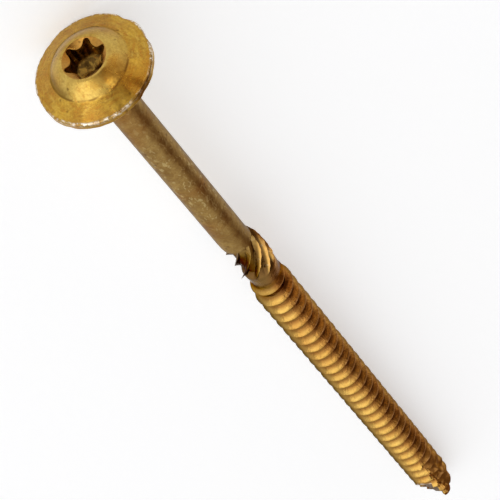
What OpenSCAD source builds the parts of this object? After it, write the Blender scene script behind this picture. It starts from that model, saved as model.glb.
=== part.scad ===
// Structural timber screw with a washer head.
// One steel piece: a domed washer head with a six-lobe drive recess, a plain
// shank, a ridged reaming section, a wood thread and a cut tip.
// It lies as it comes to rest, on the rim of its head and on a thread crest
// near the tip. Millimetres, +Z up, the head towards +X.

/* [Shank] */
// Length from the bearing face under the head to the end of the tip
length = 190; // [140:1:260]
// Length of the plain shank under the head
shank_length = 60.5; // [30:0.5:90]
// Diameter of the plain shank
shank_diameter = 5.8; // [5.2:0.1:6.6]
// Radius of the fillet between the shank and the bearing face
head_fillet = 0.8; // [0.2:0.1:1.5]

/* [Head] */
// Diameter of the washer head
head_diameter = 19.6; // [16:0.1:26]
// Height of the rim wall above the bearing face
rim_height = 1.5; // [1:0.1:2.2]
// Radius of the rounded rim edges
rim_rounding = 0.35; // [0.1:0.05:0.45]
// Diameter of the dome where it leaves the washer
dome_diameter = 13; // [11:0.1:14.5]
// Height of the foot of the dome above the bearing face
dome_foot = 2.9; // [2.2:0.1:3.4]
// Diameter of the flat land around the recess
land_diameter = 8; // [7.8:0.1:9]
// Height of the land above the bearing face
head_height = 4.9; // [4:0.1:6]

/* [Drive recess] */
// Diameter over the six lobes
recess_outer = 7.1; // [5.6:0.05:7.2]
// Diameter between the six ribs
recess_inner = 5.1; // [4.05:0.05:5.2]
// Radius of the end of a lobe
lobe_radius = 0.58; // [0.45:0.01:0.65]
// Depth of the straight recess walls
recess_depth = 3.2; // [2:0.1:3.6]
// Width of the conical lead-in around the recess
lead_in = 0.15; // [0.1:0.05:0.3]
// Full angle of the lead-in
lead_in_cone = 115; // [110:5:150]
// Full angle of the cone at the bottom of the recess
recess_cone = 140; // [110:5:160]

/* [Reaming ridges] */
// Number of ridges around the screw
ridge_count = 8; // [6:1:10]
// Diameter over the ridges
ridge_diameter = 7.2; // [6.8:0.1:7.8]
// Diameter at the bottom of the grooves between the ridges
groove_diameter = 4.8; // [4.2:0.1:5.2]
// Length of the ridged section
ridge_length = 11; // [8:0.5:20]
// Length in which a ridge would make one full turn
ridge_lead = 36; // [24:1:60]

/* [Thread] */
// Diameter over the thread
thread_diameter = 8; // [7:0.1:9]
// Diameter of the core between the turns
core_diameter = 5.3; // [4.6:0.1:5.8]
// Distance from one turn to the next
pitch = 3.62; // [3.2:0.02:5]
// Width of the thread crest
crest_width = 0.2; // [0.1:0.05:0.4]
// Angle of the flank on the head side, off the radius
head_flank = 38; // [25:1:40]
// Angle of the flank on the tip side, off the radius
tip_flank = 28; // [20:1:35]
// Length of the plain neck between the ridges and the thread
neck_length = 2.2; // [2:0.1:8]
// Diameter of the plain neck
neck_diameter = 6.4; // [5.9:0.1:6.8]
// Number of turns in which the thread reaches its full height
run_in = 1.5; // [0.5:0.25:3]

/* [Tip] */
// Length of the taper at the tip
taper_length = 10; // [6:0.5:16]
// Diameter of the thread where it ends on the taper
taper_thread = 5; // [4:0.1:6]
// Diameter of the core where the thread ends on the taper
taper_core = 3.4; // [2.6:0.1:4]
// Diameter of the blunt end
end_diameter = 1.8; // [1:0.1:2.4]
// Height of the rounded end
end_height = 1; // [0.5:0.1:2]
// Length of the long flute that is cut into the thread
flute_length = 27; // [15:1:40]
// Distance from the axis to the floor of the flute at the tip
flute_floor = 1.6; // [1:0.1:2.4]
// Length of the short notch across the end
notch_length = 15; // [8:1:20]
// Distance from the axis to the floor of the notch at the tip
notch_floor = 0.4; // [0.3:0.1:1.5]

/* [Hidden] */
$fn = 96;
steel = [0.78, 0.60, 0.27];

shank_r = shank_diameter / 2;
head_r = head_diameter / 2;
dome_r = dome_diameter / 2;
land_r = land_diameter / 2;
ridge_r = ridge_diameter / 2;
groove_r = groove_diameter / 2;
thread_r = thread_diameter / 2;
core_r = core_diameter / 2;
neck_r = neck_diameter / 2;
end_r = end_diameter / 2;

// The dome is a sphere through its foot and through the edge of the land.
dome_rise = head_height - dome_foot;
dome_center = head_height - (dome_r ^ 2 - land_r ^ 2 + dome_rise ^ 2) / (2 * dome_rise);
dome_radius = norm([land_r, head_height - dome_center]);

// A rib of the recess is an arc that runs into the lobes on both sides.
lobe_center = recess_outer / 2 - lobe_radius;
rib_reach = recess_inner / 2;
rib_radius = (lobe_radius ^ 2 - lobe_center ^ 2 - rib_reach ^ 2 + 2 * lobe_center * cos(30) * rib_reach)
           / (2 * (rib_reach - lobe_center * cos(30) - lobe_radius));

// Depths are measured from the bearing face towards the tip.
shank_chamfer = 0.1;
buried = 1;
ridge_end = shank_length + ridge_length;
taper_start = length - taper_length;
end_start = length - end_height;

// A ridge takes three points of a ring, and a turn of the thread as many.
steps = 3 * ridge_count;
step_angle = 360 / steps;
ridge_rows = 14;

// The thread profile runs down one pitch: root, head flank, crest, tip flank.
thread_height = thread_r - core_r;
head_flank_run = thread_height * tan(head_flank);
tip_flank_run = thread_height * tan(tip_flank);
root_run = pitch - crest_width - head_flank_run - tip_flank_run;
profile = [0, root_run, root_run + head_flank_run, root_run + head_flank_run + crest_width];
thread_start = ridge_end + max(0.4, neck_length - root_run);
last_step = floor((end_start - thread_start - pitch) / pitch * steps) - 1;
run_out = 0.6;
neck_turns = 2;

// At rest the axis slopes down from the rim to the last full crest on the floor.
full_turns = floor((taper_start - thread_start - profile[3]) / pitch);
crest_depth = thread_start + full_turns * pitch + profile[3];
rest_rise = head_r - rim_rounding - thread_r;
rest_run = crest_depth + rim_rounding;
rest_tilt = atan2(rest_rise, rest_run) + asin(rim_rounding / norm([rest_rise, rest_run]));
rest_height = (head_r - rim_rounding) * cos(rest_tilt) + rim_rounding * (1 - sin(rest_tilt));
rest_shift = ((length - head_height) * cos(rest_tilt) + (end_r - land_r) * sin(rest_tilt)) / 2;

// Turns about the axis: zero faces the floor when the screw lies at rest.
recess_angle = 22;
flute_angle = 175;
notch_angle = 140;
notch_side = 1;

function mix(a, b, t) = a + (b - a) * max(0, min(1, t));
function ease(t) = 1 - (1 - max(0, min(1, t))) ^ 2;
function on_axis(radius, angle, depth) = [radius * cos(angle), radius * sin(angle), -depth];

// Ridge points: one on the ridge and two at the bottom of a groove.
function ridge_crest(t) = t < 0.4
    ? mix(shank_r - shank_chamfer - 0.05, ridge_r, ease(t / 0.4))
    : mix(ridge_r, neck_r, (t - 0.85) / 0.15);
function ridge_groove(t) = mix(groove_r, neck_r, (t - 0.75) / 0.25);
function ridge_angle(i, depth) =
    -(floor(i / 3) * 3 + [0, 0.9, 2.1][i % 3]) * step_angle + 360 * (ridge_end - depth) / ridge_lead;
function ridge_ring(row) = let (t = row / ridge_rows, depth = shank_length + ridge_length * t) [
    for (i = [0 : steps - 1])
        on_axis(i % 3 == 0 ? ridge_crest(t) : ridge_groove(t), ridge_angle(i, depth), depth)
];
function plain_ring(radius, depth, turn = 0) = [
    for (i = [0 : steps - 1]) on_axis(radius, turn - i * step_angle, depth)
];
function buried_ring() = [
    for (i = [0 : steps - 1]) on_axis(groove_r, ridge_angle(i, shank_length - buried), shank_length - buried)
];

// Core and crest of the thread, with its run-in, taper and run-out.
function core_at(depth) = depth < thread_start + neck_turns * pitch
    ? mix(neck_r, core_r, (depth - thread_start) / (neck_turns * pitch))
    : mix(core_r, taper_core / 2, (depth - taper_start) / (end_start - taper_start));
function crest_at(depth) = mix(thread_r, taper_thread / 2, (depth - taper_start) / (end_start - taper_start));
function height_at(k) = min(ease(k / (run_in * steps)), ease((last_step - k) / (run_out * steps)));
function thread_point(k, j) = let (
    depth = thread_start + k * pitch / steps + profile[j],
    core = core_at(depth),
    rise = j < 2 ? 0 : max(0, crest_at(depth) - core) * height_at(k)
) on_axis(core + rise, -k * step_angle, depth);

// Rings from the shank down to the neck, then the thread, then the end.
upper_rings = concat(
    [buried_ring()],
    [for (row = [0 : ridge_rows]) ridge_ring(row)],
    [plain_ring(neck_r, (ridge_end + thread_start) / 2)]
);
upper_count = len(upper_rings);
lower_turn = -last_step * step_angle;
lower_rings = [
    plain_ring(core_at(end_start), end_start, lower_turn),
    plain_ring(mix(end_r, core_at(end_start), 0.6), end_start + end_height * 0.55, lower_turn),
    plain_ring(end_r, length, lower_turn)
];
lower_count = len(lower_rings);

thread_base = upper_count * steps;
tail_base = thread_base + 4 * (last_step + 1);
lower_base = tail_base + steps;

function upper(row, i) = row * steps + i % steps;
function lower(row, i) = lower_base + row * steps + i % steps;
function turn(k, j) = j == 4 ? turn(k + steps, 0)
    : k <= last_step ? thread_base + 4 * k + j
    : tail_base + k - last_step - 1;

// Faces run clockwise as seen from outside.
function quad(a, b, c, d) = [[a, b, c], [a, c, d]];
function fan(hub, points) = [for (i = [0 : len(points) - 2]) [hub, points[i], points[i + 1]]];

function ring_faces() = [
    for (row = [0 : upper_count - 2])
        for (i = [0 : steps - 1])
            each quad(upper(row, i + 1), upper(row, i), upper(row + 1, i), upper(row + 1, i + 1))
];
function neck_faces() = concat(
    [
        for (i = [0 : steps - 2])
            each quad(upper(upper_count - 1, i + 1), upper(upper_count - 1, i), turn(i, 0), turn(i + 1, 0))
    ],
    fan(turn(steps - 1, 0), concat(
        [for (j = [4 : -1 : 0]) turn(0, j)],
        [upper(upper_count - 1, 0), upper(upper_count - 1, steps - 1)]
    ))
);
function thread_faces() = [
    for (k = [0 : last_step - 1])
        for (j = [0 : 3])
            each quad(turn(k + 1, j), turn(k, j), turn(k, j + 1), turn(k + 1, j + 1))
];
function end_faces() = concat(
    fan(turn(last_step + 1, 0), concat(
        [for (j = [0 : 4]) turn(last_step, j)],
        [lower(0, 0), lower(0, 1)]
    )),
    [
        for (i = [1 : steps - 1])
            each quad(turn(last_step + i + 1, 0), turn(last_step + i, 0), lower(0, i), lower(0, i + 1))
    ],
    [
        for (row = [0 : lower_count - 2])
            for (i = [0 : steps - 1])
                each quad(lower(row, i + 1), lower(row, i), lower(row + 1, i), lower(row + 1, i + 1))
    ]
);

// Ridges, neck, thread and tip as one closed surface.
module threaded_body() {
    points = concat(
        [for (ring = upper_rings) each ring],
        [for (k = [0 : last_step]) for (j = [0 : 3]) thread_point(k, j)],
        [for (k = [last_step + 1 : last_step + steps]) thread_point(k, 0)],
        [for (ring = lower_rings) each ring]
    );
    faces = concat(
        [[for (i = [0 : steps - 1]) upper(0, i)]],
        ring_faces(),
        neck_faces(),
        thread_faces(),
        end_faces(),
        [[for (i = [steps - 1 : -1 : 0]) lower(lower_count - 1, i)]]
    );
    polyhedron(points = points, faces = faces, convexity = 10);
}

// Half section of the head and the plain shank, with a rounded rim, a dome
// that ends in a flat land, and a fillet under the head.
module body_section() {
    difference() {
        union() {
            polygon([
                [0, -shank_length],
                [shank_r - shank_chamfer, -shank_length],
                [shank_r, shank_chamfer - shank_length],
                [shank_r, -head_fillet],
                [shank_r + head_fillet, 0],
                [head_r - rim_rounding, 0],
                [head_r, rim_rounding],
                [head_r, rim_height - rim_rounding],
                [head_r - rim_rounding, rim_height],
                [dome_r, dome_foot],
                [0, dome_foot]
            ]);
            for (height = [rim_rounding, rim_height - rim_rounding])
                translate([head_r - rim_rounding, height])
                    circle(r = rim_rounding);
            intersection() {
                translate([0, dome_center])
                    circle(r = dome_radius);
                translate([0, rim_height / 2])
                    square([dome_r, head_height - rim_height / 2]);
            }
        }
        translate([shank_r + head_fillet, -head_fillet])
            circle(r = head_fillet);
    }
}

// Outline of the six-lobe recess, made of arcs that run into each other.
module recess_outline() {
    difference() {
        union() {
            polygon([
                for (i = [0 : 11])
                    (i % 2 == 0 ? lobe_center : rib_reach + rib_radius) * [cos(30 * i), sin(30 * i)]
            ]);
            for (i = [0 : 5])
                rotate(60 * i)
                    translate([lobe_center, 0])
                        circle(r = lobe_radius);
        }
        for (i = [0 : 5])
            rotate(60 * i + 30)
                translate([rib_reach + rib_radius, 0])
                    circle(r = rib_radius);
    }
}

// The recess: straight lobed walls, a cone at the bottom and a conical lead-in.
module recess() {
    overlap = 0.05;
    cone_r = rib_reach - 0.2;
    cone_slope = 1 / tan(recess_cone / 2);
    mouth_r = recess_outer / 2 + lead_in;
    mouth_slope = 1 / tan(lead_in_cone / 2);
    mouth_depth = (mouth_r - cone_r) * mouth_slope;
    floor_height = head_height - recess_depth;
    rotate(recess_angle) {
        translate([0, 0, floor_height])
            linear_extrude(recess_depth + overlap)
                recess_outline();
        translate([0, 0, floor_height - cone_r * cone_slope])
            cylinder(h = cone_r * cone_slope + overlap, r1 = 0, r2 = cone_r + overlap / cone_slope);
        translate([0, 0, head_height - mouth_depth])
            cylinder(h = mouth_depth + overlap, r1 = cone_r, r2 = mouth_r + overlap / mouth_slope);
    }
}

// A cut with a floor that sinks towards the tip and one wall beside it.
module tip_cut(angle, cut_length, floor_distance, wall, side) {
    reach = thread_r + 0.2;
    slope = atan2(reach - floor_distance, cut_length);
    wide = 2 * thread_r;
    rotate(angle)
        translate([reach, wall, cut_length - length])
            rotate([0, slope, 0])
                translate([0, side < 0 ? -wide : 0, -cut_length - wide])
                    cube([wide, wide, cut_length + wide]);
}

// Head and plain shank, turned in one section, with the recess cut from above.
module head_and_shank() {
    difference() {
        rotate_extrude()
            body_section();
        recess();
    }
}

// Ridges, neck and thread with both cuts at the tip.
module cut_thread() {
    difference() {
        threaded_body();
        tip_cut(flute_angle, flute_length, flute_floor, 0, 1);
        tip_cut(notch_angle, notch_length, notch_floor, notch_side, -1);
    }
}

module screw() {
    color(steel)
        translate([rest_shift, 0, rest_height])
            rotate([0, 90 - rest_tilt, 0])
                union() {
                    head_and_shank();
                    cut_thread();
                }
}

screw();
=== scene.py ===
"""Structural screw with a washer head: the finished look of the part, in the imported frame."""

import math
from types import SimpleNamespace

import bpy
import numpy as np
from mathutils import Matrix, Vector


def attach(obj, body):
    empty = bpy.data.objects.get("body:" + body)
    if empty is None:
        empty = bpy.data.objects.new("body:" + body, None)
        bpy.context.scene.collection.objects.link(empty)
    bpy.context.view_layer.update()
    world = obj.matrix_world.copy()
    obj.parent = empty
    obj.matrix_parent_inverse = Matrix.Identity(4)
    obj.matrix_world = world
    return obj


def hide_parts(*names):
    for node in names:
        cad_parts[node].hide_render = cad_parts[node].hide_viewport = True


MM = 0.001
TURN = 2 * math.pi

# Sizes of the screw in millimetres, in its own frame: the axis is z, the
# bearing face under the head is at z = 0, and the head points to +z.
LENGTH = 190.0
SHANK_LENGTH = 60.5
SHANK_R = 2.9
HEAD_FILLET = 0.8

HEAD_R = 9.8
RIM_HEIGHT = 1.5
RIM_ROUNDING = 0.35
DOME_R = 6.5
DOME_FOOT = 2.9
FOOT_FILLET = 0.35
LAND_R = 4.0
LAND_ROUNDING = 0.02
HEAD_HEIGHT = 4.9

RECESS_OUTER_R = 3.55
RIB_REACH = 2.55
LOBE_R = 0.58
RECESS_DEPTH = 3.2
RECESS_ANGLE = math.radians(22)
MOUTH_R = 3.7
MOUTH_SLOPE = math.tan(math.radians(32.5))
MOUTH_ROUNDING = 0.05
BRIM_ROUNDING = 0.07
FLOOR_CONE_R = 2.35
FLOOR_CONE_SLOPE = math.tan(math.radians(20))

RIDGE_COUNT = 8
RIDGE_R = 3.6
GROOVE_R = 2.4
RIDGE_LENGTH = 11.0
RIDGE_LEAD = 36.0

THREAD_R = 4.0
CORE_R = 2.65
PITCH = 3.62
CREST_WIDTH = 0.2
HEAD_FLANK = math.radians(38)
TIP_FLANK = math.radians(28)
NECK_LENGTH = 2.2
NECK_R = 3.2
NECK_TURNS = 2.0
RUN_IN = 1.5
RUN_OUT = 0.6

TAPER_LENGTH = 10.0
TAPER_THREAD_R = 2.5
TAPER_CORE_R = 1.7
END_R = 0.9
END_HEIGHT = 1.0
END_FLAT_R = 0.5
FLUTE = {"angle": 175, "length": 27.0, "floor": 1.6, "wall": 0.0, "side": 1,
         "torn": 0.26, "lip": 0.4, "hollow": 1.0, "drift": 0.3, "ragged": 0.9, "scallop": 0.14, "narrow": 0.0}
NOTCH = {"angle": 140, "length": 15.0, "floor": 0.3, "wall": 1.0, "side": -1,
         "torn": 0.03, "lip": 0.0, "hollow": 0.75, "drift": 0.0, "ragged": 0.0, "scallop": 0.0, "narrow": 0.8}
LIP_ANGLE = 0.22
LEAST_COSINE = 0.05

# Shares of the ridges' length at which their crests are full and start to fall again
RIDGE_RISE = 0.4
RIDGE_FALL = 0.85

# Forging marks: flattened places on the rim as (angle, width, depth), the
# unevenness of its outline, edge and wall, how far the ridges and the neck lie
# off the axis, how low the ridges stay on one side, a burr on one of them, and
# the tears and wear of crests
RIM_DIPS = ((22, 9, 0.18), (84, 10, 0.2), (205, 8, 0.12), (262, 9, 0.28), (294, 7, 0.34))
RIM_WAVES = 0.03
RIM_LIFT = 0.05
RIM_CHATTER = 0.02
RIDGE_SWAY = 0.4
RIDGE_SLACK = 0.15
RIDGE_BURR = {"ridge": 6, "below": 9.3, "length": 0.6, "height": 0.8}
RIDGE_TEAR = 0.12
RIDGE_WEAR = 0.05
CREST_WEAR = 0.03

# Values that follow from the sizes
RIDGE_END = SHANK_LENGTH + RIDGE_LENGTH
HEAD_FLANK_RUN = (THREAD_R - CORE_R) * math.tan(HEAD_FLANK)
TIP_FLANK_RUN = (THREAD_R - CORE_R) * math.tan(TIP_FLANK)
ROOT_RUN = PITCH - CREST_WIDTH - HEAD_FLANK_RUN - TIP_FLANK_RUN
CREST_END = ROOT_RUN + HEAD_FLANK_RUN + CREST_WIDTH
THREAD_START = RIDGE_END + max(0.4, NECK_LENGTH - ROOT_RUN)
TAPER_START = LENGTH - TAPER_LENGTH
END_START = LENGTH - END_HEIGHT

# Points around the screw, the direction in which their angle runs, and rows along it
AROUND = 120
ANGLES = -TURN * np.arange(AROUND) / AROUND
SHANK_ROWS = 36
RIDGE_ROWS = 76
TEAR_WAVES = 4
SHARP_ANGLE = math.radians(38)


def mix(a, b, t):
    return a + (b - a) * np.clip(t, 0.0, 1.0)


def ease(t):
    return 1.0 - (1.0 - np.clip(t, 0.0, 1.0)) ** 2


def smooth(t):
    t = np.clip(t, 0.0, 1.0)
    return t * t * (3.0 - 2.0 * t)


def wander(angle, seed, orders):
    """Smooth closed noise around the axis, about 1 in size."""
    rng = np.random.default_rng(seed)
    total = sum(rng.normal() * np.cos(k * angle + rng.uniform(0, TURN)) for k in orders)
    return total / math.sqrt(len(orders))


def ring(radius, height, angles=ANGLES):
    points = np.empty((len(angles), 3))
    points[:, 0] = radius * np.cos(angles)
    points[:, 1] = radius * np.sin(angles)
    points[:, 2] = height
    return points


# Drive recess

def star_radius(angles):
    """Radius of the six-lobe outline, made of lobe arcs and rib arcs that run into each other."""
    lobe_center = RECESS_OUTER_R - LOBE_R
    cos30 = math.cos(math.radians(30))
    rib_r = (LOBE_R ** 2 - lobe_center ** 2 - RIB_REACH ** 2 + 2 * lobe_center * cos30 * RIB_REACH) / (
        2 * (RIB_REACH - lobe_center * cos30 - LOBE_R))
    rib_center = RIB_REACH + rib_r
    from_lobe = np.abs((angles - RECESS_ANGLE + TURN / 12) % (TURN / 6) - TURN / 12)
    from_rib = TURN / 12 - from_lobe
    meet_x = mix(lobe_center, rib_center * cos30, LOBE_R / (LOBE_R + rib_r))
    meet_y = rib_center * 0.5 * LOBE_R / (LOBE_R + rib_r)
    lobe_depth = np.sqrt(np.maximum(LOBE_R ** 2 - (lobe_center * np.sin(from_lobe)) ** 2, 0))
    rib_depth = np.sqrt(np.maximum(rib_r ** 2 - (rib_center * np.sin(from_rib)) ** 2, 0))
    lobe = lobe_center * np.cos(from_lobe) + lobe_depth
    rib = rib_center * np.cos(from_rib) - rib_depth
    return np.where(from_lobe < math.atan2(meet_y, meet_x), lobe, rib)


def recess_rings():
    """From the middle of the recess floor up its walls and out to the land."""
    star = star_radius(ANGLES)
    floor = HEAD_HEIGHT - RECESS_DEPTH
    rings = []
    for share in (0.15, 0.4, 0.7, 1.0):
        rings.append(ring(FLOOR_CONE_R * share, floor - FLOOR_CONE_R * FLOOR_CONE_SLOPE * (1 - share)))
    for share in (0.35, 0.75, 0.95):
        rings.append(ring(mix(FLOOR_CONE_R, star, share), floor))
    brim = HEAD_HEIGHT - (MOUTH_R - star) * MOUTH_SLOPE
    for share in (0.02, 0.1, 0.3, 0.55, 0.8, 0.93):
        rings.append(ring(star, mix(floor, brim, share)))
    rings.append(ring(star + 0.02, brim - 0.03))
    rings.append(ring(star + BRIM_ROUNDING, brim + 0.01))
    for share in (0.2, 0.5, 0.8):
        radius = mix(star + BRIM_ROUNDING, MOUTH_R - MOUTH_ROUNDING, share)
        rings.append(ring(radius, HEAD_HEIGHT - (MOUTH_R - radius) * MOUTH_SLOPE))
    rings.append(ring(MOUTH_R - 0.6 * MOUTH_ROUNDING, HEAD_HEIGHT - 0.6 * MOUTH_ROUNDING))
    return rings


# Head and shank

def dome_rings():
    """From the land over the dome and the fillet at its foot."""
    rise = HEAD_HEIGHT - DOME_FOOT
    center = HEAD_HEIGHT - (DOME_R ** 2 - LAND_R ** 2 + rise ** 2) / (2 * rise)
    dome = math.hypot(LAND_R, HEAD_HEIGHT - center)
    top_angle = math.atan2(LAND_R, HEAD_HEIGHT - center)
    foot_angle = math.atan2(DOME_R, DOME_FOOT - center)
    rings = [ring(MOUTH_R + MOUTH_ROUNDING, HEAD_HEIGHT),
             ring(mix(MOUTH_R, LAND_R, 0.6), HEAD_HEIGHT - LAND_ROUNDING / 2)]
    fillet_angle = foot_angle - FOOT_FILLET / dome
    for share in np.linspace(0.0, 1.0, 14):
        angle = mix(top_angle, fillet_angle, share)
        dip = LAND_ROUNDING if share == 0.0 else 0.0
        rings.append(ring(dome * math.sin(angle), center + dome * math.cos(angle) - dip))
    washer = math.hypot(HEAD_R - RIM_ROUNDING - DOME_R, DOME_FOOT - RIM_HEIGHT)
    start = np.array((dome * math.sin(fillet_angle), center + dome * math.cos(fillet_angle)))
    foot = np.array((DOME_R, DOME_FOOT))
    end = mix(foot, np.array((HEAD_R - RIM_ROUNDING, RIM_HEIGHT)), FOOT_FILLET / washer)
    for t in (0.2, 0.4, 0.6, 0.8, 1.0):
        radius, height = (1 - t) ** 2 * start + 2 * t * (1 - t) * foot + t ** 2 * end
        rings.append(ring(radius, height))
    return rings


def washer_rings():
    """Over the washer, round its forged rim, which isn't quite round or even, and under it to the shank."""
    outline = RIM_WAVES * wander(ANGLES, 3, (2, 3, 5)) + RIM_WAVES * wander(ANGLES, 4, (9, 13, 17, 23, 31))
    for at, width, depth in RIM_DIPS:
        away = (np.degrees(ANGLES) - at + 180) % 360 - 180
        outline -= depth * np.exp(-(away / width) ** 2)
    lift = RIM_LIFT * wander(ANGLES, 5, (2, 3, 5)) + RIM_CHATTER * wander(ANGLES, 6, (11, 19, 29))
    outline -= outline.max()
    rings = []
    for share in (0.3, 0.5, 0.7, 0.85, 0.95, 1.0):
        radius = mix(DOME_R, HEAD_R - RIM_ROUNDING, share)
        height = mix(DOME_FOOT, RIM_HEIGHT, share)
        rings.append(ring(radius + outline * share, height + lift * share ** 2))
    for turn in np.radians((25, 50, 75, 90)):
        radius = HEAD_R - RIM_ROUNDING * (1 - math.sin(turn))
        rings.append(ring(radius + outline, RIM_HEIGHT - RIM_ROUNDING * (1 - math.cos(turn)) + lift))
    chatter = RIM_CHATTER * wander(ANGLES, 7, (14, 22, 37, 41))
    for share in (0.3, 0.65):
        height = mix(RIM_HEIGHT - RIM_ROUNDING, RIM_ROUNDING, share)
        rings.append(ring(HEAD_R + outline + chatter - RIM_CHATTER, height + lift * (1 - share)))
    for turn in np.radians((90, 65, 40, 15, 0)):
        radius = HEAD_R - RIM_ROUNDING * (1 - math.sin(turn))
        rings.append(ring(radius + outline, RIM_ROUNDING * (1 - math.cos(turn))))
    for share in (0.1, 0.4, 0.7, 0.97, 1.0):
        radius = mix(HEAD_R - RIM_ROUNDING, SHANK_R + HEAD_FILLET, share)
        rings.append(ring(radius + outline * (1 - share), 0.0))
    for turn in np.radians((20, 45, 70, 90)):
        rings.append(ring(SHANK_R + HEAD_FILLET * (1 - math.sin(turn)), HEAD_FILLET * (math.cos(turn) - 1)))
    return rings


def helix_turn(depth):
    """How far the ridges have turned at a depth: rings follow them, so that ridges stay sharp."""
    return TURN * (RIDGE_END - depth) / RIDGE_LEAD


def shank_rings():
    """The plain shank, on which the rings slowly take up the turn of the ridges."""
    top = HEAD_FILLET + 0.6
    bottom = SHANK_LENGTH - 1.2
    rings = []
    for depth in np.linspace(top, bottom, SHANK_ROWS):
        turn = helix_turn(bottom) * (depth - top) / (bottom - top)
        rings.append(ring(SHANK_R, -depth, ANGLES + turn))
    return rings


# Reaming ridges

def ridge_rings():
    """Narrow rolled ridges with slightly torn crests, between the shank and the neck."""
    rng = np.random.default_rng(11)
    tears = rng.uniform(0, TURN, (RIDGE_COUNT, TEAR_WAVES))
    place = -ANGLES * RIDGE_COUNT / TURN + 0.5
    number = np.floor(place).astype(int) % RIDGE_COUNT
    off_crest = np.abs(place % 1.0 - 0.5)
    rings = []
    for depth in np.linspace(SHANK_LENGTH - 0.9, RIDGE_END, RIDGE_ROWS):
        t = (depth - SHANK_LENGTH) / RIDGE_LENGTH
        fall = (t - RIDGE_FALL) / (1 - RIDGE_FALL)
        angles = ANGLES + helix_turn(depth)
        top = RIDGE_R - RIDGE_SLACK * np.maximum(np.sin(angles), 0.0)
        crest = mix(SHANK_R, top, ease(t / RIDGE_RISE)) if t < RIDGE_RISE else mix(top, NECK_R, fall)
        opened = mix(SHANK_R, GROOVE_R, smooth((t + 0.01) / 0.07))
        groove = mix(opened, NECK_R, smooth((t - 0.82) / 0.18))
        form = np.clip(1.0 - off_crest / mix(0.1, 0.21, t / 0.35), 0.0, 1.0)
        waves = [np.sin(depth * (1.7 + 1.3 * k) + tears[number, k]) for k in range(TEAR_WAVES)]
        torn = RIDGE_TEAR * sum(waves) / TEAR_WAVES
        away = (depth - SHANK_LENGTH - RIDGE_BURR["below"]) / RIDGE_BURR["length"]
        burr = RIDGE_BURR["height"] * math.exp(-away ** 2) * (number == RIDGE_BURR["ridge"])
        live = form ** 4 * smooth((t - 0.03) / 0.1) * (1 - smooth(fall))
        radius = groove + (crest - groove) * form + (torn - RIDGE_WEAR + burr) * live
        rings.append(ring(radius, -depth, angles))
    return rings


# Thread and tip

# One pitch of the thread, as (place along it, height) from root to root
PROFILE = (
    [(ROOT_RUN * s, h) for s, h in ((0.0, 0.035), (0.12, 0.008), (0.5, 0.0), (0.82, 0.01))]
    + [(ROOT_RUN + HEAD_FLANK_RUN * s, h) for s, h in
       ((0.05, 0.06), (0.3, 0.25), (0.6, 0.57), (0.85, 0.85), (0.97, 0.955))]
    + [(CREST_END - CREST_WIDTH * s, h) for s, h in ((0.85, 0.99), (0.5, 1.0), (0.2, 0.99), (0.0, 0.955))]
    + [(CREST_END + TIP_FLANK_RUN * s, h) for s, h in ((0.14, 0.86), (0.45, 0.52), (0.8, 0.16))]
)
POINTS = len(PROFILE)

# The last turn ends at least a 24th of a pitch above the rounded end
LAST_STEP = int((END_START - THREAD_START - PITCH) / PITCH * AROUND) - AROUND // 24


def core_at(depth):
    share = (depth - TAPER_START) / (END_START - TAPER_START)
    upper = mix(NECK_R, CORE_R, (depth - THREAD_START) / (NECK_TURNS * PITCH))
    return np.minimum(upper, mix(CORE_R, TAPER_CORE_R, share)) if depth > TAPER_START else upper


def thread_points():
    """Helical rows of points: every step holds one pitch of the profile."""
    points = []
    for k in range(LAST_STEP + AROUND + 1):
        angle = -TURN * k / AROUND
        height = min(ease(k / (RUN_IN * AROUND)), ease((LAST_STEP - k) / (RUN_OUT * AROUND)))
        wear = 0.025 * math.sin(0.37 * k) * math.sin(0.083 * k + 1.0) + 0.015 * math.sin(1.9 * k)
        rows = PROFILE if k <= LAST_STEP else PROFILE[:1]
        for offset, form in rows:
            depth = THREAD_START + k * PITCH / AROUND + offset
            core = core_at(depth)
            crest = mix(THREAD_R, TAPER_THREAD_R, (depth - TAPER_START) / (END_START - TAPER_START))
            radius = core + max(crest - core, 0.0) * form * max(height, 0.0)
            radius += (wear - CREST_WEAR) * form ** 3 * height
            points.append((radius * math.cos(angle), radius * math.sin(angle), -depth))
    return np.array(points)


def end_rings():
    """The rounded end below the thread."""
    turn = -TURN * LAST_STEP / AROUND
    core = core_at(END_START)
    rings = []
    for share in (0.0, 0.25, 0.5, 0.7, 0.85, 0.95, 1.0):
        swell = math.sqrt(1.0 - share ** 2 * (1.0 - (END_FLAT_R / core) ** 2))
        rings.append(ring(core * swell, -(END_START + END_HEIGHT * share), ANGLES + turn))
    return rings


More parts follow.
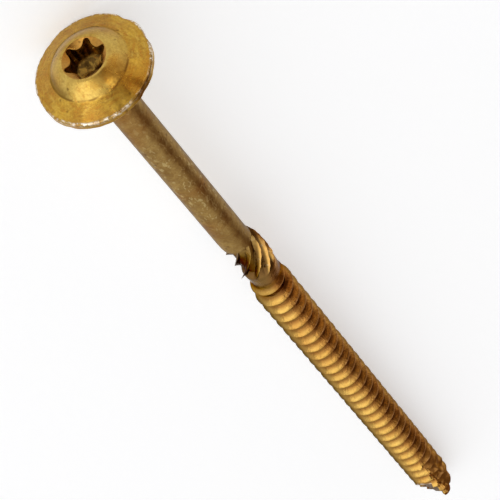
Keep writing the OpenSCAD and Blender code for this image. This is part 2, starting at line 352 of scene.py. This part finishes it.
def cut_tip(points):
    """Cut the flute and the notch into the tip, and tell which points lie on each torn floor."""
    radius = np.hypot(points[:, 0], points[:, 1])
    angle = np.arctan2(points[:, 1], points[:, 0])
    below = -points[:, 2]
    lumps = np.sin(2.3 * below + 2.0 * angle) * np.sin(5.3 * angle - 1.1 * below)
    lumps += 0.5 * np.sin(3.7 * below + 6.0 * angle)
    waves = np.sin(TURN * below / PITCH + 1.0) + 0.8 * np.sin(2.7 * TURN * below / PITCH)
    start = THREAD_R + 0.2
    floors = []
    for cut in (FLUTE, NOTCH):
        share = (below - LENGTH + cut["length"]) / cut["length"]
        sunk = np.clip(share, 0, 2) ** cut["hollow"]
        wall_angle = math.radians(cut["angle"]) + cut["drift"] * (share - 0.6)
        # The wall of the flute is wavy, except at the very end.
        wall_angle = wall_angle + cut["scallop"] * waves * smooth((0.95 - share) / 0.1)
        off = (angle - wall_angle + math.pi) % TURN - math.pi
        floor = start + (cut["floor"] - start) * sunk + cut["torn"] * lumps
        reach = np.maximum(floor / np.maximum(np.cos(off), LEAST_COSINE), 0.3)
        wall = cut["wall"] - cut["narrow"] * smooth((share - 0.5) / 0.4)
        past_wall = cut["side"] * (reach * np.sin(off) - wall) > 0
        inside = (share > 0) & (np.cos(off) > LEAST_COSINE) & past_wall
        # Torn metal stands up along the wall of the flute.
        lip = (share > 0.1) & (share < 0.9) & (off < 0) & (off > -LIP_ANGLE)
        lip_height = cut["lip"] * (1 + off / LIP_ANGLE) * (0.6 + 0.4 * lumps)
        radius = np.where(lip, radius + lip_height, radius)
        # The crests beside it are bent and torn as well.
        beside = smooth(share / 0.35) * smooth(off / 0.12) * (1 - smooth((off - 1.2) / 0.6))
        crest_share = np.clip((radius - CORE_R) / (THREAD_R - CORE_R), 0, 1)
        radius = radius - cut["ragged"] * beside * (0.5 + 0.5 * lumps) * crest_share
        floors.append(np.maximum(inside & (radius > reach), np.sign(cut["ragged"]) * beside))
        radius = np.where(inside, np.minimum(radius, reach), radius)
    points[:, 0] = radius * np.cos(angle)
    points[:, 1] = radius * np.sin(angle)
    return floors


# Whole surface

def quads(first, second, steps):
    """Faces between two rows of points, each row given as a function of the step."""
    return [(first(i), first(i + 1), second(i + 1), second(i)) for i in steps]


def fan(hub, edge):
    """Triangles from one point to the points along an edge."""
    return [(hub, a, b) for a, b in zip(edge, edge[1:])]


def screw_faces(upper_rows, thread_count, lower_rows):
    """Faces over the upper rings, the helical thread and the rings of the end, in that order of points."""
    thread_base = 1 + upper_rows * AROUND
    tail_base = thread_base + POINTS * (LAST_STEP + 1)
    lower_base = thread_base + thread_count
    last_point = lower_base + lower_rows * AROUND

    def on_upper(row, i):
        return 1 + row * AROUND + i % AROUND

    def on_thread(k, j):
        if j == POINTS:
            return on_thread(k + AROUND, 0)
        return thread_base + POINTS * k + j if k <= LAST_STEP else tail_base + k - LAST_STEP - 1

    def on_lower(row, i):
        return lower_base + row * AROUND + i % AROUND

    faces = [(0, on_upper(0, i + 1), on_upper(0, i)) for i in range(AROUND)]
    for row in range(upper_rows - 1):
        faces += quads(lambda i: on_upper(row, i), lambda i: on_upper(row + 1, i), range(AROUND))

    # The neck meets the first turn, which starts one pitch above its own end.
    neck = upper_rows - 1
    faces += quads(lambda i: on_upper(neck, i), lambda i: on_thread(i, 0), range(AROUND - 1))
    edge = [on_upper(neck, AROUND - 1), on_upper(neck, 0)] + [on_thread(0, j) for j in range(POINTS + 1)]
    faces += fan(on_thread(AROUND - 1, 0), edge)

    for k in range(LAST_STEP):
        faces += [(on_thread(k, j), on_thread(k + 1, j), on_thread(k + 1, j + 1), on_thread(k, j + 1))
                  for j in range(POINTS)]

    # The last turn meets the rounded end in the same way.
    edge = [on_lower(0, 1), on_lower(0, 0)] + [on_thread(LAST_STEP, j) for j in range(POINTS, -1, -1)]
    faces += fan(on_thread(LAST_STEP + 1, 0), edge)
    faces += quads(lambda i: on_thread(LAST_STEP + i, 0), lambda i: on_lower(0, i), range(1, AROUND))
    for row in range(lower_rows - 1):
        faces += quads(lambda i: on_lower(row, i), lambda i: on_lower(row + 1, i), range(AROUND))
    bottom = lower_rows - 1
    faces += [(last_point, on_lower(bottom, i), on_lower(bottom, i + 1)) for i in range(AROUND)]
    return faces


def screw_mesh():
    """The whole screw as one closed surface, from the recess floor to the tip."""
    upper = recess_rings() + dome_rings() + washer_rings() + shank_rings() + ridge_rings()
    upper.append(ring(NECK_R, -(RIDGE_END + THREAD_START) / 2))
    thread = thread_points()
    lower = end_rings()
    recess_middle = np.array([(0, 0, HEAD_HEIGHT - RECESS_DEPTH - FLOOR_CONE_R * FLOOR_CONE_SLOPE)])
    tip_middle = np.array([(0, 0, -LENGTH)])
    points = np.concatenate([recess_middle] + upper + [thread] + lower + [tip_middle])
    flute_floor, notch_floor = cut_tip(points)
    below = -points[:, 2]
    sway_in = smooth((below - SHANK_LENGTH + 2) / 6)
    sway_out = 1 - smooth((below - RIDGE_END - 2) / 8)
    points[:, 1] -= RIDGE_SWAY * sway_in * sway_out

    mesh = bpy.data.meshes.new("screw_surface")
    mesh.from_pydata((points * MM).tolist(), [], screw_faces(len(upper), len(thread), len(lower)))
    for name, floor in (("flute_floor", flute_floor), ("notch_floor", notch_floor)):
        mesh.attributes.new(name, "FLOAT", "POINT").data.foreach_set("value", floor.astype(np.float32))
    return mesh


# Rest on the floor

def rest_placement():
    """The screw lies on its rim and on the last full crest of its thread."""
    turns = math.floor((TAPER_START - THREAD_START - CREST_END) / PITCH)
    rise = HEAD_R - RIM_ROUNDING - THREAD_R
    run = THREAD_START + turns * PITCH + CREST_END + RIM_ROUNDING
    tilt = math.atan2(rise, run) + math.asin(RIM_ROUNDING / math.hypot(rise, run))
    height = (HEAD_R - RIM_ROUNDING) * math.cos(tilt) + RIM_ROUNDING * (1 - math.sin(tilt))
    shift = ((LENGTH - HEAD_HEIGHT) * math.cos(tilt) + (END_R - LAND_R) * math.sin(tilt)) / 2
    lying = Matrix.Rotation(math.radians(90) - tilt, 4, "Y")
    return Matrix.Translation(Vector((shift, 0, height)) * MM) @ lying


# Materials

class Nodes:
    """A short way to write a node tree."""

    def __init__(self, owner):
        owner.use_nodes = True
        self.tree = owner.node_tree
        self.tree.nodes.clear()

    def add(self, kind, links=None, **settings):
        node = self.tree.nodes.new(kind)
        for name, value in settings.items():
            setattr(node, name, value)
        for socket, source in (links or {}).items():
            target = node.inputs[socket]
            if isinstance(source, bpy.types.NodeSocket):
                self.tree.links.new(source, target)
            else:
                target.default_value = source
        return node

    def math(self, operation, a, b=0.0, c=0.0):
        return self.add("ShaderNodeMath", {0: a, 1: b, 2: c}, operation=operation).outputs[0]

    def times(self, first, *others):
        """The product of masks and numbers."""
        for other in others:
            first = self.math("MULTIPLY", first, other)
        return first

    def band(self, value, low, high, to_low=0.0, to_high=1.0):
        """A soft step from one level to another, while a value goes from low to high."""
        limits = {"Value": value, "From Min": low, "From Max": high, "To Min": to_low, "To Max": to_high}
        return self.add("ShaderNodeMapRange", limits, interpolation_type="SMOOTHSTEP").outputs["Result"]

    def below(self, value, low, high):
        """A mask that is 1 up to the low value and fades out at the high one."""
        return self.band(value, low, high, 1.0, 0.0)

    def noise(self, vector, scale, detail=3.0, roughness=0.5, distortion=0.0):
        form = {"Vector": vector, "Scale": scale, "Detail": detail, "Roughness": roughness,
                "Distortion": distortion}
        return self.add("ShaderNodeTexNoise", form).outputs["Fac"]

    def mix(self, factor, a, b, blend="MIX"):
        """One colour over another. The colours are inputs 6 and 7 and output 2 of this node."""
        colours = {"Factor": factor, 6: a, 7: b}
        return self.add("ShaderNodeMix", colours, data_type="RGBA", blend_type=blend).outputs[2]

    def coat(self, base, mask, share, colour):
        """Lay a share of a colour on the base where a mask applies."""
        return self.mix(self.times(mask, share), base, colour)

    def vector(self, operation, a, b=(0.0, 0.0, 0.0), c=(0.0, 0.0, 0.0)):
        return self.add("ShaderNodeVectorMath", {0: a, 1: b, 2: c}, operation=operation).outputs[0]

    def stretch(self, vector, scale):
        return self.vector("MULTIPLY", vector, scale)


def rgb(r, g, b):
    return (r, g, b, 1.0)


def plating_places(n, placement):
    """Where a point lies on the screw, in millimetres, and masks that are 1 on each main part of it."""
    on_part = {"Vector": n.add("ShaderNodeTexCoord").outputs["Object"],
               "Location": placement.to_translation(), "Rotation": placement.to_euler()}
    own_place = n.add("ShaderNodeMapping", on_part, vector_type="TEXTURE").outputs["Vector"]
    at = SimpleNamespace(place=n.stretch(own_place, (1 / MM, 1 / MM, 1 / MM)))
    axes = n.add("ShaderNodeSeparateXYZ", {0: at.place}).outputs
    at.along = axes["Z"]
    at.left = axes["Y"]
    at.around = n.math("ARCTAN2", axes["Y"], axes["X"])
    squares = n.math("ADD", n.times(axes["X"], axes["X"]), n.times(axes["Y"], axes["Y"]))
    at.radius = n.math("SQRT", squares)
    at.outward = n.vector("NORMALIZE", n.stretch(at.place, (1.0, 1.0, 0.0)))

    at.head = n.band(at.along, -0.6, -0.2)
    at.past_shank = n.below(at.along, -(SHANK_LENGTH + 4.0), -(SHANK_LENGTH - 0.5))
    at.ridges = n.times(at.past_shank, n.band(at.along, -(RIDGE_END + 1.5), -(RIDGE_END - 1.5)))
    at.past_ridges = n.math("SUBTRACT", at.past_shank, at.ridges)
    at.neck = n.times(n.band(at.along, -(THREAD_START + 4.5), -(THREAD_START + 1.5)),
                      n.below(at.along, -(RIDGE_END - 0.5), -(RIDGE_END - 2.5)))
    at.flute = n.add("ShaderNodeAttribute", attribute_name="flute_floor").outputs["Fac"]
    at.notch = n.add("ShaderNodeAttribute", attribute_name="notch_floor").outputs["Fac"]
    return at


def head_places(n, at):
    """Masks on the head."""
    at.recess = n.times(n.below(at.along, HEAD_HEIGHT - 1.7, HEAD_HEIGHT - 0.5), at.head,
                        n.below(at.radius, RECESS_OUTER_R - 0.05, RECESS_OUTER_R + 0.05))
    at.lead_in = n.times(n.band(at.along, HEAD_HEIGHT - 1.0, HEAD_HEIGHT - 0.8),
                         n.below(at.radius, MOUTH_R - 0.04, MOUTH_R + 0.04))
    at.rim = n.times(n.band(at.radius, HEAD_R - 0.5, HEAD_R - 0.3), n.band(at.along, 0.7, 1.2))
    off_foot = n.math("ABSOLUTE", n.math("SUBTRACT", at.radius, DOME_R))
    # Painted shade in the crease at the dome's foot
    at.crease = n.times(at.head, n.below(off_foot, 0.04, 0.22))
    at.foot = n.below(off_foot, 0.15, 0.45)

    # Painted shade lies low on the left of the dome, and another patch of painted shade higher up on its
    # upper side.
    facing = n.add("ShaderNodeSeparateXYZ", {0: at.outward}).outputs
    low_dome = n.times(n.band(at.radius, DOME_R - 1.3, DOME_R - 0.4),
                       n.below(at.radius, DOME_R, DOME_R + 0.25))
    at.grime = n.times(low_dome, at.head, n.band(facing["Y"], 0.82, 0.97))
    high_dome = n.times(n.below(at.radius, DOME_R - 1.2, DOME_R - 0.6),
                        n.band(at.radius, LAND_R - 0.25, LAND_R + 0.1))
    at.tarnish = n.times(high_dome, at.head, n.below(facing["X"], -0.97, -0.91))


def thread_places(n, at):
    """Masks on the ridges and the thread."""
    # Painted shade goes in the grooves between the ridges, and a painted highlight on their crests
    at.groove = n.times(at.ridges, n.below(at.radius, RIDGE_R - 0.55, RIDGE_R - 0.1))
    at.ridge_crest = n.times(at.ridges, n.band(at.radius, RIDGE_R - 0.3, RIDGE_R - 0.05))

    # Place within one pitch of the thread: the crest ends at 0.8, the next root starts at 1
    turns = n.math("MULTIPLY_ADD", at.along, -1.0 / PITCH, -THREAD_START / PITCH)
    phase = n.math("FRACT", n.math("MULTIPLY_ADD", at.around, 1.0 / TURN, turns))
    # Painted shade on the roots and lower flanks, which the crest above hides and shades, except near the
    # start of the thread
    off_crest = n.math("MAXIMUM", n.band(phase, 0.8, 0.86), n.below(phase, 0.52, 0.68))
    at.under_crest = n.times(off_crest, n.below(at.along, -(THREAD_START + 6.0), -(THREAD_START + 1.0)))
    # Painted highlight on the crests, on the right side only; these crests are also rougher
    on_crest = n.times(n.band(phase, 0.70, 0.75), n.below(phase, 0.80, 0.83))
    at.bright_edge = n.times(on_crest, at.past_shank, n.below(at.left, -1.8, -0.2))

    # Painted warm shade on the right side of the thread, and painted shade along both edges of its outline
    at.right_side = n.times(at.past_ridges, n.below(at.left, -0.8, 1.0))
    at.both_sides = n.times(at.past_ridges,
                            n.band(n.math("ABSOLUTE", at.left), THREAD_R - 0.8, THREAD_R - 0.2))


def plating_patterns(n, at):
    """Patterns in the plating, from broad clouds to fine grain."""
    look = SimpleNamespace()
    look.clouds = n.noise(at.place, 0.11, 2.0)
    look.patches = n.noise(at.place, 0.32, 4.0, 0.55, 0.6)
    look.stains = n.noise(at.place, 0.9, 3.0, 0.6, 0.4)
    look.grain = n.noise(at.place, 2.8, 2.0, 0.6)
    look.drawn = n.noise(n.stretch(at.place, (1.0, 1.0, 0.06)), 2.4, 2.0, 0.6)
    look.flakes = n.noise(at.place, 1.7, 2.0, 0.6)
    look.spots = n.times(at.head, n.band(n.noise(at.place, 1.3, 2.0, 0.5), 0.60, 0.70))

    # Streaks that run round the washer
    ring_place = n.vector("MULTIPLY_ADD", at.outward, (1.8, 1.8, 0.0),
                          n.add("ShaderNodeCombineXYZ", {"Z": at.radius}).outputs[0])
    look.streaks = n.noise(ring_place, 2.4, 2.0, 0.6)

    # Pale flecks on the shank, which fade towards the ridges and again towards the head
    rubbed = n.math("ADD", n.band(at.along, -56.0, -44.0), n.band(at.along, -30.0, -14.0, 0.0, -0.7))
    on_shank = n.math("SUBTRACT", 1.0, n.math("MAXIMUM", at.head, at.past_shank))
    long_spots = n.noise(n.stretch(at.place, (1.0, 1.0, 0.45)), 1.7, 1.0, 0.5, 0.8)
    look.flecks = n.times(n.band(long_spots, 0.60, 0.66), rubbed, on_shank)

    # Pits, in some of the cells of a cell pattern and fainter past the shank
    cells = n.add("ShaderNodeTexVoronoi", {"Vector": at.place, "Scale": 0.62}).outputs
    cell_value = n.add("ShaderNodeSeparateColor", {"Color": cells["Color"]}).outputs[0]
    fainter = n.math("MULTIPLY_ADD", at.past_shank, -0.85, 1.0)
    look.pits = n.times(n.band(cell_value, 0.6, 0.65), n.below(cells["Distance"], 0.1, 0.22), fainter)
    return look


def base_gold(n, at, look):
    """The plating's own colour on the head, the shank and the thread, with its clouds and stains."""
    tone = n.band(look.patches, 0.32, 0.68)
    washer = n.mix(tone, rgb(0.45, 0.245, 0.034), rgb(0.62, 0.385, 0.055))
    washer = n.mix(n.band(look.streaks, 0.5, 0.68, 0.0, 0.55), washer, rgb(0.46, 0.19, 0.024))
    washer = n.mix(n.band(look.streaks, 0.3, 0.46, 0.4, 0.0), washer, rgb(0.70, 0.48, 0.10))
    dome = n.mix(tone, rgb(0.50, 0.31, 0.058), rgb(0.62, 0.43, 0.105))
    head = n.mix(n.band(at.radius, DOME_R - 0.3, DOME_R + 0.3), dome, washer)
    shank = n.mix(tone, rgb(0.345, 0.205, 0.062), rgb(0.50, 0.325, 0.105))
    thread = n.mix(tone, rgb(0.475, 0.275, 0.060), rgb(0.565, 0.352, 0.086))
    gold = n.mix(at.head, n.mix(at.past_shank, shank, thread), head)
    gold = n.mix(n.band(look.clouds, 0.5, 0.75, 0.0, 0.5), gold, rgb(0.38, 0.15, 0.03))
    return n.mix(n.band(look.stains, 0.52, 0.8, 0.0, 0.55), gold, rgb(0.24, 0.11, 0.025))


def thread_tones(n, at, gold):
    """Painted shade between the crests, in the ridge grooves and at the sides, painted highlights on the
    crests, a darker neck, and the two cuts of the tip.
    """
    # Painted shade under the crests
    gold = n.coat(gold, at.under_crest, 0.75, rgb(0.16, 0.052, 0.011))
    # Painted highlight on the crests at the right
    gold = n.coat(gold, at.bright_edge, 0.7, rgb(0.92, 0.66, 0.32))
    gold = n.coat(gold, at.neck, 0.6, rgb(0.21, 0.12, 0.042))
    # Painted shade in the ridge grooves
    gold = n.coat(gold, at.groove, 0.85, rgb(0.11, 0.050, 0.017))
    # Painted highlight on the ridge crests: bright orange on the right, dull grey on the left
    crest_gold = n.mix(n.band(at.left, -0.8, 2.2), rgb(0.90, 0.50, 0.14), rgb(0.42, 0.30, 0.14))
    gold = n.coat(gold, at.ridge_crest, 0.85, crest_gold)
    # Painted shade on the far left of the thread
    far_left = n.band(at.left, THREAD_R - 1.8, THREAD_R - 0.2, 0.0, 0.7)
    gold = n.coat(gold, at.past_shank, far_left, rgb(0.25, 0.14, 0.038))
    # Painted warm shade on the right side
    gold = n.mix(at.right_side, gold, rgb(1.0, 0.80, 0.74), "MULTIPLY")
    # Painted shade along both edges
    gold = n.mix(at.both_sides, gold, rgb(0.48, 0.53, 0.60), "MULTIPLY")
    gold = n.coat(gold, at.flute, 0.8, rgb(0.42, 0.195, 0.048))
    return n.coat(gold, at.notch, 0.9, rgb(0.62, 0.54, 0.46))


def recess_tones(n, at, look, gold):
    """A darker lead-in, and painted shade in the recess, near black in patches and brown elsewhere."""
    gold = n.coat(gold, at.lead_in, 0.7, rgb(0.40, 0.17, 0.03))
    # Painted shade in the recess, near black in patches
    brown = n.mix(n.band(look.stains, 0.4, 0.6), rgb(0.022, 0.009, 0.003), rgb(0.27, 0.15, 0.026))
    return n.coat(gold, at.recess, 0.9, brown)


def plating_specks(n, at, look, gold):
    """Fine grain, flecks, pits and spots."""
    fainter = n.math("MULTIPLY_ADD", at.past_shank, -0.6, 1.0)
    gold = n.coat(gold, n.band(look.grain, 0.3, 0.7, 0.3, 0.0), fainter, rgb(0.20, 0.085, 0.02))
    gold = n.coat(gold, look.flecks, 0.5, rgb(0.76, 0.60, 0.27))
    gold = n.coat(gold, look.pits, 0.6, rgb(0.10, 0.045, 0.012))
    return n.coat(gold, look.spots, 0.3, rgb(0.36, 0.12, 0.02))


def head_wear(n, at, look, gold):
    """Painted shade in the crease round the dome's foot, low on its left and higher up on its upper side, and
    bare metal on the rim.
    """
    # Painted shade in the crease at the dome's foot, in patches
    gold = n.coat(gold, at.crease, n.band(look.patches, 0.4, 0.58, 0.0, 0.7), rgb(0.12, 0.05, 0.012))
    # Painted shade low on the dome's left and higher up on its upper side
    gold = n.coat(gold, at.grime, 0.7, rgb(0.18, 0.10, 0.015))
    gold = n.coat(gold, at.tarnish, 0.5, rgb(0.32, 0.16, 0.02))
    bare = n.mix(n.band(look.flakes, 0.44, 0.58), rgb(0.30, 0.20, 0.075), rgb(0.80, 0.73, 0.62))
    return n.coat(gold, at.rim, n.band(look.stains, 0.4, 0.6, 0.9, 0.4), bare)


# Roughness of the plating on each part, and how much rougher it is where it's worn
SHANK_ROUGHNESS = 0.34
THREAD_ROUGHNESS = 0.22
HEAD_ROUGHNESS = 0.27
WORN_ROUGHNESS = 0.22

# Heights of the fine grain and of the wider waves in the plating, in metres
GRAIN_HEIGHT = 0.00004
WAVE_HEIGHT = 0.00025


def plating_roughness(n, at, look):
    """The shank's roughness, with a step to the head's and one to the thread's, which don't overlap."""
    rough = n.math("MULTIPLY_ADD", at.past_shank, THREAD_ROUGHNESS - SHANK_ROUGHNESS, SHANK_ROUGHNESS)
    rough = n.math("MULTIPLY_ADD", at.head, HEAD_ROUGHNESS - SHANK_ROUGHNESS, rough)
    rough = n.math("MULTIPLY_ADD", n.math("MAXIMUM", at.flute, at.bright_edge), WORN_ROUGHNESS, rough)
    return n.math("ADD", rough, n.band(look.patches, 0.3, 0.7, -0.05, 0.07))


def plating_relief(n, at, look):
    """Fine grain and pits everywhere, and wider waves below the head."""
    fine = n.math("ADD", n.times(look.grain, 0.5), n.times(look.drawn, 0.5))
    relief = {"Strength": 0.35, "Distance": GRAIN_HEIGHT, "Height": n.math("SUBTRACT", fine, look.pits)}
    grain = n.add("ShaderNodeBump", relief).outputs["Normal"]
    waves = n.times(look.stains, n.below(at.along, -4.0, -1.0))
    relief = {"Strength": 0.5, "Distance": WAVE_HEIGHT, "Height": waves, "Normal": grain}
    return n.add("ShaderNodeBump", relief).outputs["Normal"]


def plating_edge_tint(n, at):
    """The tint of reflections at a grazing angle; the dark tint on the thread paints shade along its outline.
    """
    thread_alone = n.math("SUBTRACT", at.past_shank, at.neck)
    tint = n.mix(thread_alone, rgb(0.50, 0.50, 0.52), rgb(0.20, 0.15, 0.11))
    return n.mix(at.head, tint, n.mix(at.foot, rgb(0.85, 0.82, 0.80), rgb(0.70, 0.64, 0.54)))


def plated_steel(placement):
    """Yellow zinc plating: patchy gold, duller on the shank and glossier in the thread, with painted shade
    and highlights on the thread and painted shade on the head.
    """
    material = bpy.data.materials.new("yellow_zinc_plating")
    n = Nodes(material)
    at = plating_places(n, placement)
    head_places(n, at)
    thread_places(n, at)
    look = plating_patterns(n, at)
    gold = base_gold(n, at, look)
    gold = thread_tones(n, at, gold)
    gold = recess_tones(n, at, look, gold)
    gold = plating_specks(n, at, look, gold)
    gold = head_wear(n, at, look, gold)
    surface = {"Base Color": gold, "Metallic": 1.0, "Roughness": plating_roughness(n, at, look),
               "Normal": plating_relief(n, at, look), "Specular Tint": plating_edge_tint(n, at)}
    shader = n.add("ShaderNodeBsdfPrincipled", surface)
    n.add("ShaderNodeOutputMaterial", {"Surface": shader.outputs["BSDF"]})
    return material


# How much the floor is lifted to white where it's seen or reflected
FLOOR_LIFT = 0.44


def floor_material():
    """Matt white studio paper that looks white to the camera and in reflections, and keeps its shadows."""
    material = bpy.data.materials.new("white_paper")
    n = Nodes(material)
    place = n.add("ShaderNodeTexCoord").outputs["Object"]
    fibre = n.noise(place, 900.0, 3.0)
    colour = n.mix(n.band(fibre, 0.3, 0.7), rgb(0.75, 0.785, 0.82), rgb(0.77, 0.805, 0.84))
    ray = n.add("ShaderNodeLightPath").outputs
    reflected = n.math("MAXIMUM", ray["Is Glossy Ray"], ray["Is Transmission Ray"])
    seen = n.math("MAXIMUM", ray["Is Camera Ray"], reflected)
    shader = n.add("ShaderNodeBsdfPrincipled", {"Base Color": colour, "Roughness": 0.9,
                                                "Emission Color": rgb(1.0, 1.0, 1.0),
                                                "Emission Strength": n.times(seen, FLOOR_LIFT)})
    n.add("ShaderNodeOutputMaterial", {"Surface": shader.outputs["BSDF"]})
    return material


# Studio

# Lamps: places, aims and sizes in metres, powers in watts
KEY = {"place": (0.80, 0.77, 0.50), "aim": (0.0, 0.0, 0.02), "size": (1.1, 0.95),
       "power": 2.7, "colour": (1.0, 1.0, 1.0)}
FILL = {"place": (0.228, -0.12, 0.094), "aim": (0.092, 0.0, 0.01), "size": (0.2, 0.2),
        "power": 0.056, "colour": (1.0, 0.72, 0.40)}
GLINT = {"place": (0.381, -0.081, 0.348), "aim": (0.095, 0.0, 0.010), "size": (0.2, 0.06),
         "power": 0.0018, "colour": (1.0, 0.82, 0.45), "spread": math.radians(12)}
FLOOR_HALF = 3.0


def studio_world():
    """A wide soft light from the zenith over to +Y, a dark gap beside it, and a pale card low at -Y."""
    world = bpy.data.worlds.new("studio")
    bpy.context.scene.world = world
    n = Nodes(world)
    way = n.add("ShaderNodeSeparateXYZ", {0: n.add("ShaderNodeTexCoord").outputs["Generated"]}).outputs
    lean = n.math("ARCTAN2", n.times(way["Y"], -1.0), way["Z"])
    over_head = n.math("ADD", n.band(lean, -0.5, 0.5, 1.2, 0.14), n.band(lean, 1.0, 1.4, 0.0, 0.4))
    over_tip = n.math("ADD", n.band(lean, -0.25, 0.92, 0.74, 0.22), n.band(lean, 1.15, 1.4, 0.0, 0.36))
    head_share = n.band(way["X"], -0.75, -0.15)
    tip_share = n.math("SUBTRACT", 1.0, head_share)
    light = n.math("ADD", n.times(over_head, head_share), n.times(over_tip, tip_share))
    strength = n.times(light, n.band(way["X"], 0.8, 0.98, 1.0, 0.7))
    colour = n.mix(n.band(strength, 0.15, 0.75), rgb(1.0, 0.66, 0.42), rgb(1.0, 1.0, 1.0))
    sky = n.add("ShaderNodeBackground", {"Color": colour, "Strength": strength})
    n.add("ShaderNodeOutputWorld", {"Surface": sky.outputs["Background"]})


def softbox(name, place, aim, size, power, colour, spread=math.pi, lights_only=None):
    """A rectangular lamp that lights everything, or one object alone."""
    lamp = bpy.data.lights.new(name, "AREA")
    lamp.shape = "RECTANGLE"
    lamp.size, lamp.size_y = size
    lamp.energy = power
    lamp.color = colour
    lamp.spread = spread
    holder = bpy.data.objects.new(name, lamp)
    holder.location = place
    holder.rotation_euler = (Vector(aim) - Vector(place)).to_track_quat("-Z", "Y").to_euler()
    bpy.context.scene.collection.objects.link(holder)
    if lights_only:
        receivers = bpy.data.collections.new(name + "_lights")
        receivers.objects.link(lights_only)
        holder.light_linking.receiver_collection = receivers


def studio_floor():
    half = FLOOR_HALF
    corners = [(-half, -half, 0), (half, -half, 0), (half, half, 0), (-half, half, 0)]
    mesh = bpy.data.meshes.new("floor")
    mesh.from_pydata(corners, [], [(0, 1, 2, 3)])
    floor = bpy.data.objects.new("floor", mesh)
    floor.data.materials.append(floor_material())
    bpy.context.scene.collection.objects.link(floor)


# The camera in the screw's own frame, in millimetres: it stands above the
# screw's upper side, beyond the head, and is turned so that the head is top left.
CAMERA_OUT = 236.8
CAMERA_UP = 302.63
AIM_SIDE = 0.81
AIM_UP = -66.28
CAMERA_ROLL = -0.6923
FOCAL_PIXELS = 2502.6
IMAGE_PIXELS = 500


def studio_camera(placement):
    data = bpy.data.cameras.new("camera")
    data.sensor_fit = "HORIZONTAL"
    data.sensor_width = 36.0
    data.lens = data.sensor_width * FOCAL_PIXELS / IMAGE_PIXELS
    data.clip_start = 0.01
    camera = bpy.data.objects.new("camera", data)
    stand = Vector((-CAMERA_OUT, 0, CAMERA_UP))
    aim = Vector((0, -AIM_SIDE, AIM_UP))
    ahead = (aim - stand).normalized()
    right = ahead.cross(Vector((0, 0, 1))).normalized()
    up = right.cross(ahead)
    turned_right = right * math.cos(CAMERA_ROLL) + up * math.sin(CAMERA_ROLL)
    turned_up = up * math.cos(CAMERA_ROLL) - right * math.sin(CAMERA_ROLL)
    axes = Matrix((turned_right, turned_up, -ahead)).transposed().to_4x4()
    camera.matrix_world = placement @ Matrix.Translation(stand * MM) @ axes
    bpy.context.scene.collection.objects.link(camera)
    bpy.context.scene.camera = camera


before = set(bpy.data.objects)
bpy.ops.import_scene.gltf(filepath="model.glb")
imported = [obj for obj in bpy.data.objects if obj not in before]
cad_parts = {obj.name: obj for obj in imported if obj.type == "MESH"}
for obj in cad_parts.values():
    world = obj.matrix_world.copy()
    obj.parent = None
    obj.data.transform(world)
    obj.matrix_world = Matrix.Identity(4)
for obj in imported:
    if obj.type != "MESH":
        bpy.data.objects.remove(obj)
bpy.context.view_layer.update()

placement = rest_placement()
screw = bpy.data.objects.new("screw_finish", screw_mesh())
bpy.context.scene.collection.objects.link(screw)
screw.data.shade_smooth()
screw.data.set_sharp_from_angle(angle=SHARP_ANGLE)
screw.data.transform(placement)
screw.data.materials.append(plated_steel(placement))
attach(screw, "root")
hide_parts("screw")

studio_floor()
studio_world()
softbox("key", **KEY)
softbox("fill", **FILL, lights_only=screw)
softbox("glint", **GLINT, lights_only=screw)
studio_camera(placement)

bpy.context.scene.view_settings.view_transform = "Standard"
